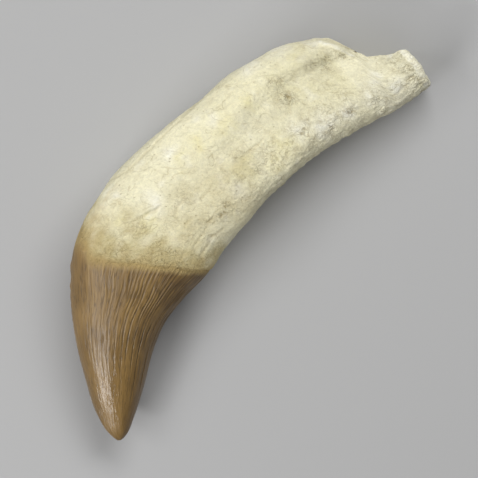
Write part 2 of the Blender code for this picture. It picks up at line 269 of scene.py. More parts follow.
# Heights of the relief that the materials add
NODULE_RELIEF, PIT_RELIEF, STRIAE_RELIEF, FURROW_RELIEF = -0.35, -0.32, 0.1, -0.1
GRAIN_RELIEF = (0.4, 0.95)  # on sound bone and on pitted bone

# Roughness: satin enamel, more polished towards the tip, and dry bone
TIP_ROUGHNESS, NECK_ROUGHNESS, BONE_ROUGHNESS = 0.285, 0.48, 0.8
POLISH_FROM, POLISH_TO = 20.0, 42.0  # from the tip, where the polish fades
APATITE_IOR = 1.6

# Shares of the darker colours
# The first share is of dark brown on the crown's inner side, partly its own tone and partly painted shade
# The last share is of brown that is partly dirt and partly painted shade in the root's hollows
INNER_TONE_AND_SHADE_SHARE, GROOVE_SHARE, STROKE_SHARE, DIRT_AND_SHADE_SHARE = 0.38, 0.65, 0.6, 0.88

# The photograph's view: straight down, turned so that the chord of the tooth runs up to the right
VIEW_TURN = math.radians(50.0)
VIEW_CENTRE = (-3.6, -14.7, 15.0)
VIEW_WIDTH = 159.3
LENS, SENSOR = 200.0, 36.0
CLIP_START, CLIP_END = 0.01, 20.0  # metres

FLOOR_SIZE = 4.0  # metres
FLOOR_GAP = 0.05

# Softboxes: place to the right, up and above in the view, and width and height, all in metres
KEY_PLACE, KEY_SIZE = (0.24, 0.54, 0.67), (0.82, 0.36)
SECOND_PLACE, SECOND_SIZE = (-1.0, -0.18, 0.96), (1.12, 0.42)
STRIP_PLACE, STRIP_SIZE = (-0.39, -0.38, 0.36), (0.27, 0.06)


def linear(hex_colour):
    """An sRGB hex colour as linear red, green, blue and alpha."""
    channels = [int(hex_colour[at : at + 2], 16) / 255 for at in (1, 3, 5)]
    return (*(c / 12.92 if c <= 0.04045 else ((c + 0.055) / 1.055) ** 2.4 for c in channels), 1.0)


def colour_property(name, description, hex_colour):
    """A colour setting."""
    colour = linear(hex_colour)
    return FloatVectorProperty(name=name, description=description, default=colour, subtype="COLOR", size=4)


def length_property(name, description, millimetres):
    """A length setting."""
    return FloatProperty(name=name, description=description, default=millimetres * MM, unit="LENGTH")


def power_property(name, description, watts):
    """A lamp's power setting."""
    return FloatProperty(name=name, description=description, default=watts, unit="POWER")


class FossilToothShape(bpy.types.PropertyGroup):
    """Sizes of the tooth's relief."""

    ridges: IntProperty(name="Ridges", description="Enamel ridges round the crown", default=92, min=12)
    groove_depth: length_property("Groove depth", "Depth of the grooves between the ridges", 0.22)
    keel_height: length_property("Keel height", "Height of the beaded keel on the outer edge", 0.5)
    neck_step: length_property("Neck step", "How far the root stands proud of the enamel", 0.45)
    root_relief: length_property("Root relief", "Height of the root's uneven surface", 0.32)


class FossilToothColours(bpy.types.PropertyGroup):
    """Colours of the tooth's enamel, root, stains and dirt."""

    enamel: colour_property("Enamel", "Main brown of the crown", "#785D30")
    enamel_gold: colour_property("Enamel gold", "Warmer brown in some zones of the crown", "#927442")
    enamel_groove: colour_property("Enamel groove", "Dark brown in the grooves", "#4A371D")
    enamel_crest: colour_property("Enamel crest", "Pale brown along the ridges", "#9C7F48")
    # Tan at the enamel's end: partly a stain, partly painted shade on the rounding lip
    neck_stain: colour_property("Neck stain", "Tan stain where the enamel ends", "#B69E66")
    root: colour_property("Root", "Main cream of the root", "#F0EAC8")
    root_yellow: colour_property("Root yellow", "Yellow patches", "#EBE2AC")
    # Greyish: painted shade in the trough and hollow patches, and a grey mottle underneath
    root_grey: colour_property("Root grey", "Greyish patches", "#D9D3B4")
    # Chalky white: chalky bone and fresh breaks, and painted highlight on the upper rim
    root_chalk_and_highlight: colour_property("Root chalk", "Chalky white patches and fresh breaks", "#FAF7E4")
    root_dust: colour_property("Root dust", "Dusty tan near the enamel", "#C7B988")
    # Brown in pits, cracks, low places and below the lip: partly dirt, partly painted shade and a painted
    # shadow
    root_dirt: colour_property("Root dirt", "Brown dirt in pits and cracks", "#A8935C")


class FossilToothStudio(bpy.types.PropertyGroup):
    """Floor and light of the studio."""

    floor: colour_property("Floor", "Pale grey of the floor", "#B0B0B0")
    key_power: power_property("Key light", "Power of the nearest large softbox", 5.5)
    second_power: power_property("Second light", "Power of the widest softbox", 6.6)
    strip_power: power_property("Strip light", "Power of the narrow softbox by the crown", 1.6)
    fill: FloatProperty(name="Fill", description="Brightness of the light all round", default=0.18, min=0)


def smooth_curve(points, places):
    """A curve through points numbered 0, 1, 2..., read at places (an array of any shape)."""
    points = np.asarray(points, float).reshape(len(points), -1)
    ends = 2 * points[[0, -1]] - points[[1, -2]]
    held = np.vstack([ends[:1], points, ends[1:]])
    first = np.clip(places.astype(int), 0, len(points) - 2)
    u = (places - first)[..., None]
    a, b, c, d = (held[first + step] for step in range(4))
    return b + 0.5 * u * (c - a + u * (2 * a - 5 * b + 4 * c - d + u * (3 * (b - c) + d - a)))


def ease(low, high, value):
    """0 up to low, 1 from high on, and smooth between them."""
    share = np.clip((value - low) / (high - low), 0, 1)
    return share * share * (3 - 2 * share)


def bump(value, middle, reach):
    """1 in the middle, fading smoothly to nearly 0 at twice the reach."""
    return np.exp(-(((value - middle) / reach) ** 2))


def soft_min(a, b, radius):
    """The smaller of a and b, with the corner between them rounded."""
    share = np.clip(0.5 + 0.5 * (b - a) / radius, 0, 1)
    return b + (a - b) * share - radius * share * (1 - share)


def noise_at(points, size, seed):
    """Smooth noise of about -1 to 1, whose lumps are size millimetres across (one size, or one per axis)."""
    shift = Vector((17.0 * seed, 5.0 * seed, 0.0))
    scaled = (points / np.array(size)).reshape(-1, 3)
    flat = [noise.noise(Vector(p) + shift) for p in scaled]
    return np.reshape(flat, points.shape[:-1])


def layered_noise(points, *layers):
    """Layers of noise, added up."""
    return sum(layer.height * noise_at(points, layer.size, layer.seed) for layer in layers)


def noise_along(numbers, along, waves):
    """Noise along the tooth that is different for each number."""
    own = np.stack(np.broadcast_arrays(numbers * waves.apart, 0.0, along / waves.length), axis=-1)
    return waves.height * noise_at(own, 1.0, waves.seed)


def wandered(skin, size, seeds, reach):
    """The points seen from above, each moved by up to about reach, so that what is drawn there is uneven."""
    wander = np.stack([noise_at(skin.bar, size, seed) for seed in seeds], axis=-1)
    return skin.points[..., :2] + reach * wander


def distance_to_line(places, line):
    """Distance of each place, seen from above, to a line of points."""
    nearest = np.full(places.shape[:-1], np.inf)
    for start, end in zip(line, line[1:]):
        start, run = np.array(start), np.subtract(end, start)
        share = np.clip(((places - start) @ run) / (run @ run), 0, 1)
        nearest = np.minimum(nearest, np.linalg.norm(places - start - share[..., None] * run, axis=-1))
    return nearest


def spots_at(places, spots, size=1.0):
    """1 in the middle of each spot, fading out at its radius times size."""
    total = np.zeros(places.shape[:-1])
    for x, y, radius in spots:
        away = np.linalg.norm(places - np.array([x, y]), axis=-1)
        total = np.maximum(total, bump(away, 0.0, radius * size))
    return total


def shifted_places(rows, angles):
    """The place along the tooth of each point of each row, where the rows follow the neck line."""
    across, shift = np.transpose(NECK_LINE)
    line = np.interp(np.cos(angles), across, shift) / SECTION_SPACING
    return rows[:, None] + bump(rows, NECK, NECK_SHIFT_REACH)[:, None] * line


def clip_to_break(across, width, depth_share, place):
    """Cuts the outer corner of the root end back to the broken edge, in each section's own plane."""
    kept = np.interp(place, *np.transpose(BREAK_EDGE))
    kept = kept - LEDGE_DEPTH * bump(place, LEDGE_AT, LEDGE_LENGTH) * ease(*LEDGE_HEIGHTS, depth_share)
    cavity = bump(place, CAVITY_AT, CAVITY_LENGTH) * bump(depth_share, 0.0, CAVITY_HEIGHT)
    limit = 2 * (kept - CAVITY_DEPTH * cavity) / width - 1
    return np.where(place > BREAK_START, soft_min(across, limit, 2 * BREAK_ROUND / width), across)


def main_form(rows):
    """The tooth without its fine relief: a ring of points for each row, with their side, place and cut."""
    angles = np.linspace(0, 2 * math.pi, RING_POINTS, endpoint=False)
    place = shifted_places(rows, angles)
    table = [(*s.outer, *s.inner, s.half_depth, s.lift, s.hollow) for s in SECTIONS]
    values = smooth_curve(table, np.clip(place, 0, ROOT_END))
    outer, inner = values[..., 0:2], values[..., 2:4]
    half_depth, lift, hollow = values[..., 4], values[..., 5], values[..., 6]
    middle = (outer + inner) / 2
    half_width = np.linalg.norm(outer - inner, axis=-1) / 2
    sideways = (outer - inner) / (2 * half_width[..., None])
    onwards = np.stack([sideways[..., 1], -sideways[..., 0]], axis=-1)

    nose = np.sqrt(1 - (1 - np.clip(place / TIP_ROUND, 0, 1)) ** 2)
    rooty = ease(NECK - 1, NECK + 1, place)
    inner_shoulder = INNER_SHOULDER * bump(angles, INNER_SHOULDER_AT, INNER_SHOULDER_REACH)
    fuller = 1 + rooty * (SQUARENESS * (1 - np.cos(4 * angles)) + inner_shoulder)
    across, up = nose * np.cos(angles) * fuller, nose * np.sin(angles) * fuller
    rough = middle + across[..., None] * (outer - inner) / 2
    rough = np.concatenate([rough, (up * half_depth)[..., None]], axis=-1)
    raised = layered_noise(rough, ROOT_LUMPS) * rooty
    normal = np.stack([np.cos(angles) / half_width, np.sin(angles) / half_depth], axis=-1)
    normal = normal / np.linalg.norm(normal, axis=-1)[..., None]
    across = across + raised * normal[..., 0] / half_width
    up = up + raised * normal[..., 1] / half_depth
    whole = across
    across = clip_to_break(across, 2 * half_width, up, place)
    beside = across - np.interp(place, *np.transpose(HOLLOW_SHIFT))
    dip = hollow / half_depth * (1 - ease(*HOLLOW_OUTER_WALL, beside)) * ease(*HOLLOW_INNER_SIDE, beside)
    up = np.where(up > 0, up * (1 - dip), up)

    lean = END_BULGE * bump(across, END_BULGE_ACROSS, END_BULGE_WIDTH) - math.tan(END_TILT) * half_depth * up
    lean = lean * ease(ROOT_END - END_TILT_REACH, ROOT_END, place)
    flat = middle + across[..., None] * sideways * half_width[..., None] + lean[..., None] * onwards
    height = lift + half_depth * (1 + up)
    cut = (whole - across) * half_width
    side = np.broadcast_to(np.sin(angles), place.shape)
    return np.stack([flat[..., 0], flat[..., 1], height, side, place, cut], axis=-1)


def respaced(ring, fractions):
    """The values of a closed ring at fractions of its length."""
    closed = np.vstack([ring, ring[:1]])
    steps = np.linalg.norm(np.diff(closed[:, :3], axis=0), axis=1)
    length = np.concatenate([[0], np.cumsum(steps)])
    at = (fractions % 1.0) * length[-1]
    return np.transpose([np.interp(at, length, column) for column in closed.T])


def length_along(place):
    """Millimetres from the tip along the middle of the tooth."""
    middles = np.array([np.add(s.outer, s.inner) / 2 for s in SECTIONS])
    steps = np.linalg.norm(np.diff(middles, axis=0), axis=1)
    return np.interp(place, np.arange(len(SECTIONS)), np.concatenate([[0], np.cumsum(steps)]))


def straightened(fractions, along):
    """Places on the tooth as if it were a straight round bar, so that patterns run along it with no seam."""
    turn = 2 * math.pi * fractions
    return np.stack([MEAN_RADIUS * np.cos(turn), MEAN_RADIUS * np.sin(turn), along], axis=-1)


def surface_normals(points):
    """Outward normals of a grid of points whose columns close round the tooth."""
    round_it = np.roll(points, -1, axis=1) - np.roll(points, 1, axis=1)
    along_it = np.gradient(points, axis=0)
    normal = np.cross(round_it, along_it)
    return normal / np.maximum(np.linalg.norm(normal, axis=-1), 1e-9)[..., None]


def fine_rows():
    """The places along the tooth of the mesh's rows, closer together at the tip and the neck."""
    nose = TIP_ROUND * (1 - np.cos(np.linspace(0, math.pi / 2, NOSE_ROWS + 1)[1:]))
    stops = (TIP_ROUND, NECK - NECK_ROWS_REACH, NECK + NECK_ROWS_REACH, ROOT_END)
    counts = (CROWN_ROWS, NECK_ROWS, ROOT_ROWS)
    stretches = [np.linspace(*ends, count + 1)[1:] for *ends, count in zip(stops, stops[1:], counts)]
    return np.concatenate([nose, *stretches])


class Skin:
    """The fine surface as a grid of rows along the tooth and columns round it, and its paint masks."""

    def __init__(self, shape):
        self.rows = fine_rows()
        self.ridges = shape.ridges
        columns = shape.ridges * COLUMNS_PER_RIDGE
        self.column = np.arange(columns)
        self.share = np.broadcast_to(self.column / columns, (len(self.rows), columns))
        along = np.broadcast_to(length_along(self.rows)[:, None], self.share.shape)
        crown = 1 - ease(NECK - 0.2, NECK + 0.4, self.rows)[:, None]
        wander = layered_noise(straightened(self.share, along), RIDGE_WANDER)
        wander = wander + noise_along(self.column // COLUMNS_PER_RIDGE, along, RIDGE_WAVES)
        fractions = self.share + crown * wander / shape.ridges
        rings = main_form(self.rows)
        grid = np.array([respaced(ring, f) for ring, f in zip(rings, fractions)])
        self.points = grid[..., 0:3]
        side, self.place, self.cut = grid[..., 3], grid[..., 4], grid[..., 5]
        self.along = length_along(self.place)
        self.bar = straightened(self.share, self.along)
        self.top = ease(*UPPER_SIDE, side)
        self.edge = np.minimum(self.share, 1 - self.share)  # 0 at the outer edge, 0.5 at the inner one
        self.end = self.enamel_end()
        self.broken = ease(0.3, 1.2, self.cut)
        self.masks = {}

    def enamel_end(self):
        """How far each point is past the enamel's end towards the root, in sections, with small scallops."""
        further = ENAMEL_REACH / SECTION_SPACING * bump(self.edge, *ENAMEL_REACH_PLACE)
        return self.rows[:, None] - NECK + layered_noise(self.bar, *ENAMEL_SCALLOPS) - further

    def crumbly_side(self):
        """1 on the root's worn and crumbly inner side, 0 elsewhere."""
        return ease(*CRUMBLY_ROUND, self.edge) * ease(*CRUMBLY_ALONG, self.place)


def crown_relief(skin, shape):
    """Grooves between the enamel ridges, and the beaded keel along the outer edge."""
    groove = (skin.column + COLUMNS_PER_RIDGE // 2) // COLUMNS_PER_RIDGE % skin.ridges
    profile = np.take(GROOVE_PROFILE, skin.column % COLUMNS_PER_RIDGE)
    uneven = np.clip(GROOVE_DEPTH_MEAN + noise_along(groove, skin.along, GROOVE_WAVES), *GROOVE_DEPTH_LIMITS)
    start = GROOVE_STARTS[0] + (GROOVE_STARTS[1] - GROOVE_STARTS[0]) * (groove * GOLDEN_SHARE % 1.0)
    strength = ease(start - GROOVE_START_SOFT, start + GROOVE_START_SOFT, skin.rows[:, None])
    strength = strength * (1 - ease(LIP_START, LIP_START + 0.1, skin.end))
    strength = strength * (0.3 + 0.45 * ease(0.05, 0.2, skin.edge) + 0.6 * ease(0.22, 0.4, skin.edge))
    skin.masks["groove"] = np.clip(uneven * strength * profile, 0, 1)
    skin.masks["crest"] = np.clip(strength * (1 - profile), 0, 1)
    beads = 0.5 + 0.5 * np.cos(2 * math.pi * skin.along / BEAD_LENGTH)
    keel = beads * bump(skin.edge, 0.0, KEEL_WIDTH) * (1 - ease(*KEEL_END, skin.place))
    keel = keel * (0.3 * ease(*LOW_KEEL, skin.place) + 0.7 * ease(*FULL_KEEL, skin.place))
    raised = layered_noise(skin.bar, *CROWN_RIPPLES) + keel * shape.keel_height / MM
    return (1 - ease(0.0, 0.2, skin.end)) * raised - shape.groove_depth / MM * uneven * strength * profile


def neck_relief(skin, shape):
    """The root's lip, which stands proud of the enamel and is softer towards the outer edge."""
    outer_side = 1 - ease(*OUTER_SIDE, skin.edge)
    tan = OUTER_TAN / SECTION_SPACING * bump(skin.edge, 0.0, OUTER_TAN_WIDTH)
    past_brown = skin.end + tan + BROWN_END + OUTER_BROWN_END * outer_side
    skin.masks["enamel"] = 1 - ease(0.0, BROWN_FADE + OUTER_BROWN_FADE * outer_side, past_brown)
    past_lip = np.maximum(skin.end - LIP_START * ease(0.0, 0.08, skin.edge), 0)
    further = 0.3 + 0.7 * ease(0.0, 0.05, skin.edge) + 1.8 * bump(skin.edge, 0.1, 0.03)
    uneven = np.maximum(1 + layered_noise(skin.bar, *STAIN_AND_SHADE_UNEVEN), 0.3)
    # Partly a tan stain, partly painted shade of the lip's rounded edge
    skin.masks["stain"] = np.exp(-past_lip / (STAIN_AND_SHADE_LENGTH / SECTION_SPACING * further * uneven))
    # Partly the enamel's darker tone, partly painted shade: the inner flank, turned from the lights, is
    # darkened
    skin.masks["wash"] = ease(*INNER_TONE_AND_SHADE_PLACES, skin.edge)
    step = ease(0.0, LIP_WIDTH + OUTER_LIP_WIDTH * outer_side, skin.end - LIP_START)
    return shape.neck_step / MM * step * (1 - ease(*LIP_FADE, skin.end))


def root_relief(skin, shape):
    """The uneven surface of the root: dents, lengthwise fibres, crumbs and shallow wrinkles. It also paints
    shade into the brown mask, in the low places between the bumps and in the wrinkles, and a shadow below the
    lip.
    """
    root = ease(LIP_START - 0.05, LIP_START + 0.1, skin.end)
    bumps = layered_noise(skin.bar, ROOT_BUMPS)
    fibres = layered_noise(skin.bar, ROOT_FIBRES) * (0.2 + 0.5 * ease(0.2, 0.4, skin.edge))
    near_line = 1 - np.abs(noise_at(skin.bar, ROOT_WRINKLES.size, ROOT_WRINKLES.seed)) * 9
    wrinkles = np.clip(near_line, 0, 1) * ease(-0.1, 0.3, noise_at(skin.bar, 9.0, 15))
    crumbs = skin.crumbly_side() * layered_noise(skin.points, *INNER_CRUMBS)
    # Painted shadow: a dark line just below the root's lip, darker in the enamel's grooves there
    under_lip_shadow = 0.5 * skin.masks["groove"] * ease(-0.1, 0.05, skin.end)
    under_lip_shadow = under_lip_shadow + 0.3 * bump(skin.end, LIP_START, 0.04)
    # Painted shade: the low places between the bumps and the wrinkles are darkened
    low = ease(0.1, 0.5, -bumps / ROOT_BUMPS.height)
    skin.masks["dirt"] = under_lip_shadow + root * np.clip(0.15 * wrinkles + 0.12 * low, 0, 1)
    uneven = layered_noise(skin.bar, *ROOT_DENTS) + bumps + fibres + crumbs - ROOT_WRINKLES.height * wrinkles
    return root * shape.root_relief / MM * uneven


def mark_relief(skin):
    """The cracks, pits, nodules, flake and rim that show on the upper side of the root. Cracks and pits are
    browned, partly as dirt and partly as painted shade.
    """
    places = wandered(skin, MARK_WANDER_SIZE, (17, 18), MARK_WANDER)
    total = np.zeros(skin.place.shape)
    dirt = np.zeros(skin.place.shape)
    for crack in CRACKS:
        away = distance_to_line(places, crack.points)
        line = bump(away, 0.0, crack.width)
        sides = bump(away, CRACK_SIDES_AT * crack.width, crack.width)
        total += crack.depth * (CRACK_SIDES * sides - line)
        dirt = np.maximum(dirt, CRACK_DIRT_AND_SHADE * line)
    pits = spots_at(places, PITS)
    total += PIT_RIM * spots_at(places, PITS, PIT_RIM_SIZE) - PIT_DEPTH * pits
    total += NODULE_HEIGHT * spots_at(places, NODULES)
    total += FLAKE_HEIGHT * bump(distance_to_line(places, FLAKE), 0.0, FLAKE_WIDTH)
    rim = bump(distance_to_line(places, BREAK_RIM), 0.0, BREAK_RIM_WIDTH)
    total += BREAK_RIM_HEIGHT * rim
    skin.masks["chalk_and_highlight"] = skin.top * rim
    dirt = np.maximum(dirt, PIT_DIRT_AND_SHADE * pits)
    skin.masks["dirt"] = np.maximum(skin.masks["dirt"], skin.top * dirt)
    return skin.top * total


def end_relief(skin):
    """The crumbly surface round the broken end and on the break itself."""
    crumbly = ease(*NEAR_END, skin.place) * (1 - 0.7 * ease(*END_SMOOTHER, skin.place))
    crumbly = crumbly * (1 - 0.6 * ease(0.32, 0.45, skin.edge))
    return (crumbly + skin.broken) * layered_noise(skin.points, *END_CRUMBS)


def paint_patches(skin):
    """Masks of the root's patches of colour, among them painted shade in the greyish patches and painted
    highlight on the rim, and of where its surface is pitted.
    """
    places = wandered(skin, PATCH_WANDER_SIZE, (21, 22), PATCH_WANDER)
    yellow, chalk_and_highlight, grey, pitted, dusty = (
        skin.top * spots_at(places, spots)
        for spots in (YELLOW_PATCHES, CHALK_AND_RIM_HIGHLIGHT_PATCHES, TROUGH_SHADE_PATCHES, PITTED_PATCHES, DUSTY_PATCHES)
    )
    mottle = noise_at(skin.points, 6.0, 23)
    chalky = 0.5 * ease(0.05, 0.5, noise_at(skin.points, 3.0, 24)) * ease(-0.2, 0.4, mottle)
    below = 1 - skin.top
    from_neck = skin.rows[:, None] - NECK
    yellow_neck = 1 - ease(0.1, 1.2, from_neck + 0.6 * mottle)
    dusty_neck = 1 - ease(0.1, 1.4, from_neck + 0.8 * mottle)
    crumbly = skin.crumbly_side()
    yellow_end = 0.45 * skin.top * ease(10.5, 13.0, skin.place) * (1 - crumbly)
    yellow = np.maximum(yellow, yellow_end) + below * ease(0, 0.6, mottle)
    skin.masks["yellow"] = np.clip(np.maximum(yellow, yellow_neck), 0, 1)
    # Grey: painted shade in the trough and hollow patches, and a random grey mottle underneath
    skin.masks["grey"] = np.clip(grey + below * ease(0, 0.6, -mottle), 0, 1)
    skin.masks["dust"] = np.maximum(0.55 * dusty, dusty_neck)
    fresh = ease(*FRESH_BREAK, skin.place)
    break_rim = bump(skin.cut, 0.35, 0.35) * ease(14.0, 14.3, skin.place)
    broken = 0.35 * skin.broken + break_rim
    # Chalk, with the painted highlight of the two rim patches
    chalk_and_highlight = np.maximum.reduce([chalk_and_highlight, chalky, broken, fresh, skin.masks["chalk_and_highlight"]])
    skin.masks["chalk_and_highlight"] = np.clip(chalk_and_highlight, 0, 1)
    worn_end = 0.75 * ease(*WORN_END, skin.place) * (1 - fresh)
    worn = [0.5 * crumbly, worn_end, 0.7 * dusty_neck, 0.35 * dusty]
    skin.masks["pitted"] = np.maximum.reduce([pitted, *worn])


def end_face(outline):
    """Rings of points that close the broken root end, from its outline to its middle."""
    middle = outline.mean(axis=0)
    outwards = -np.cross(outline[0] - middle, outline[len(outline) // 4] - middle)
    outwards = outwards / np.linalg.norm(outwards)
    if outwards[0] < 0:
        outwards = -outwards
    rings = []
    for share in END_SHARES:
        ring = middle + (outline - middle) * share
        bulge = END_RIM * ease(1.0, END_RIM_SHARE, share) - END_HOLLOW * (1 - share) ** END_HOLLOW_POWER
        rings.append(ring + (bulge + layered_noise(ring, *FACE_CRUMBS))[:, None] * outwards)
    return rings, middle - END_HOLLOW * outwards


def mesh_from_grid(name, points, tip, end):
    """A closed mesh from rings of points, with a point at each end."""
    rows, columns = points.shape[:2]
    index = np.arange(rows * columns).reshape(rows, columns)
    beside = np.roll(index, -1, axis=1)
    quads = np.stack([index[:-1], beside[:-1], beside[1:], index[1:]], axis=-1).reshape(-1, 4)
    tip_index, end_index = rows * columns, rows * columns + 1
    fans = [(b, a, tip_index) for a, b in zip(index[0], beside[0])]
    fans += [(a, b, end_index) for a, b in zip(index[-1], beside[-1])]
    mesh = bpy.data.meshes.new(name)
    corners = np.vstack([points.reshape(-1, 3), tip, end]) * MM
    mesh.from_pydata(corners.tolist(), [], quads.tolist() + fans)
    mesh.shade_smooth()
    return mesh


def add_mask(mesh, name, values, end_rows, end_value):
    """Stores a mask on the mesh's points. The rings of the end face and its middle get one value."""
    extra = np.full(end_rows * values.shape[1], float(end_value))
    layer = mesh.attributes.new(name, "FLOAT", "POINT")
    layer.data.foreach_set("value", np.concatenate([values.ravel(), extra, [values[0, 0], end_value]]))


def tooth_mesh(shape):
    """The whole tooth as one closed mesh that rests on the floor, and the names of its paint masks."""
    skin = Skin(shape)
    normals = surface_normals(skin.points)
    relief = crown_relief(skin, shape) + neck_relief(skin, shape)
    relief = relief + root_relief(skin, shape) + mark_relief(skin) + end_relief(skin)
    paint_patches(skin)
    points = skin.points + relief[..., None] * normals
    rings, end = end_face(points[-1])
    first = SECTIONS[0]
    tip = np.array([*(np.add(first.outer, first.inner) / 2), first.lift + first.half_depth])
    shift = -(skin.points.min(axis=(0, 1)) + skin.points.max(axis=(0, 1))) / 2
    shift[2] = 0
    grid = np.concatenate([points, np.array(rings)]) + shift
    grid[..., 2] = np.maximum(grid[..., 2], 0)
    mesh = mesh_from_grid("Tooth", grid, tip + shift, end + shift)
    for name, values in skin.masks.items():
        add_mask(mesh, name, values, len(rings), END_FACE_MASKS.get(name, 0.0))
    bar = np.concatenate([skin.bar, [skin.bar[-1] * (share, share, 1) for share in END_SHARES]])
    bar = np.vstack([bar.reshape(-1, 3), skin.bar[0, 0], (0, 0, skin.along[-1, 0])])
    layer = mesh.attributes.new("straight", "FLOAT_VECTOR", "POINT")
    layer.data.foreach_set("vector", (bar * MM).ravel())
    return mesh, list(skin.masks)


def add_node(tree, kind, inputs=(), out=0, **settings):
    """Adds a shader node with its settings, fills or links its inputs, and returns one of its outputs."""
    node = tree.nodes.new("ShaderNode" + kind)
    for name, value in settings.items():
        setattr(node, name, value)
    for key, value in dict(inputs).items():
        if isinstance(value, bpy.types.NodeSocket):
            tree.links.new(value, node.inputs[key])
        else:
            node.inputs[key].default_value = value
    return node.outputs[out] if node.outputs else None


# A colour Mix node's inputs and output, which share their names with its other kinds
MIX_SHARE, MIX_A, MIX_B, MIX_RESULT = 0, 6, 7, 2
COLOUR_MIX = {"data_type": "RGBA", "out": MIX_RESULT}


def per_metre(size):
    """A texture's scale, from the size of its features in millimetres."""
    return 1 / (size * MM)


def empty_material(name):
    """A new material and its empty node tree."""
    material = bpy.data.materials.new(name)
    material.use_nodes = True
    material.node_tree.nodes.clear()
    return material, material.node_tree


def fine_furrows(tree, maps):
    """Furrows along the enamel that are too fine for the mesh: 0 outside them, up to 1 inside."""
    ridged = add_node(tree, "Math", {0: maps["groove"], 1: maps["crest"]}, operation="ADD", use_clamp=True)
    away = add_node(tree, "Math", {0: maps["furrows"], 1: 0.5}, operation="SUBTRACT")
    away = add_node(tree, "Math", {0: away}, operation="ABSOLUTE")
    line = add_node(tree, "MapRange", {"Value": away, "From Min": 0.06, "From Max": 0.0})
    return add_node(tree, "Math", {0: line, 1: ridged}, operation="MULTIPLY")


def enamel_colour(tree, colours, maps, furrows):
    """Brown enamel: warm and cool zones, pale ridges, dark grooves, dark strokes that run along them, and a
    darker inner side that is partly its own tone and partly painted shade.
    """
    warm = {"Value": maps["zones"], "From Min": 0.4, "From Max": 0.62, "To Max": 0.7}
    warm = add_node(tree, "MapRange", warm)
    pale = {"Value": maps["streaks"], "From Min": 0.42, "From Max": 0.66, "To Max": 0.7}
    pale = add_node(tree, "MapRange", pale)
    pale = add_node(tree, "Math", {0: pale, 1: maps["crest"]}, operation="MULTIPLY")
    # Painted shade, with some of the enamel's own darker tone, on the crown's inner flank
    wash = add_node(tree, "Math", {0: maps["wash"], 1: INNER_TONE_AND_SHADE_SHARE}, operation="MULTIPLY")
    dark = add_node(tree, "Math", {0: maps["groove"], 1: furrows}, operation="MAXIMUM")
    dark = add_node(tree, "Math", {0: dark, 1: GROOVE_SHARE}, operation="MULTIPLY")
    stroke = {"Value": maps["strokes"], "From Min": 0.54, "From Max": 0.66, "To Max": STROKE_SHARE}
    stroke = add_node(tree, "MapRange", stroke)

    colour = colours.enamel
    for share, tint in (
        (warm, colours.enamel_gold),
        (pale, colours.enamel_crest),
        (wash, colours.enamel_groove),
        (dark, colours.enamel_groove),
        (stroke, colours.enamel_groove),
    ):
        colour = add_node(tree, "Mix", {MIX_SHARE: share, MIX_A: colour, MIX_B: tint}, **COLOUR_MIX)
    return colour


def root_colour(tree, colours, maps, pits):
    """Cream fossil bone: yellow, greyish, chalky and dusty patches, a mottle, and brown in pits, cracks and
    low places. The greyish patches are painted shade, two chalky patches are painted highlight on the rim,
    and the brown is partly dirt and partly painted shade.
    """
    colour = colours.root
    for name, tint, least, most in (
        ("yellow", colours.root_yellow, 0.25, 0.75),
        # grey: painted shade in the trough and on the hollow's wall
        ("grey", colours.root_grey, 0.3, 0.8),
        # chalk: chalky bone and breaks, with painted highlight on the upper rim
        ("chalk_and_highlight", colours.root_chalk_and_highlight, 0.4, 1.0),
        ("dust", colours.root_dust, 0.65, 0.95),
    ):
        uneven = {"Value": maps["clouds"], "From Min": 0.38, "From Max": 0.6, "To Min": least, "To Max": most}
        uneven = add_node(tree, "MapRange", uneven)
        share = add_node(tree, "Math", {0: maps[name], 1: uneven}, operation="MULTIPLY")
        colour = add_node(tree, "Mix", {MIX_SHARE: share, MIX_A: colour, MIX_B: tint}, **COLOUR_MIX)

    shade = {"Value": maps["mottle"], "From Min": 0.3, "From Max": 0.7, "To Min": 0.85, "To Max": 1.1}
    shade = add_node(tree, "MapRange", shade)
    shaded = {MIX_SHARE: 1.0, MIX_A: colour, MIX_B: shade}
    colour = add_node(tree, "Mix", shaded, blend_type="MULTIPLY", **COLOUR_MIX)

    # Brown of dirt and of painted shade in pits, cracks, low places and below the lip
    dirt = add_node(tree, "Math", {0: maps["dirt"], 1: pits}, operation="ADD")
    dirt = add_node(tree, "Math", {0: dirt, 1: DIRT_AND_SHADE_SHARE}, operation="MULTIPLY", use_clamp=True)
    return add_node(tree, "Mix", {MIX_SHARE: dirt, MIX_A: colour, MIX_B: colours.root_dirt}, **COLOUR_MIX)


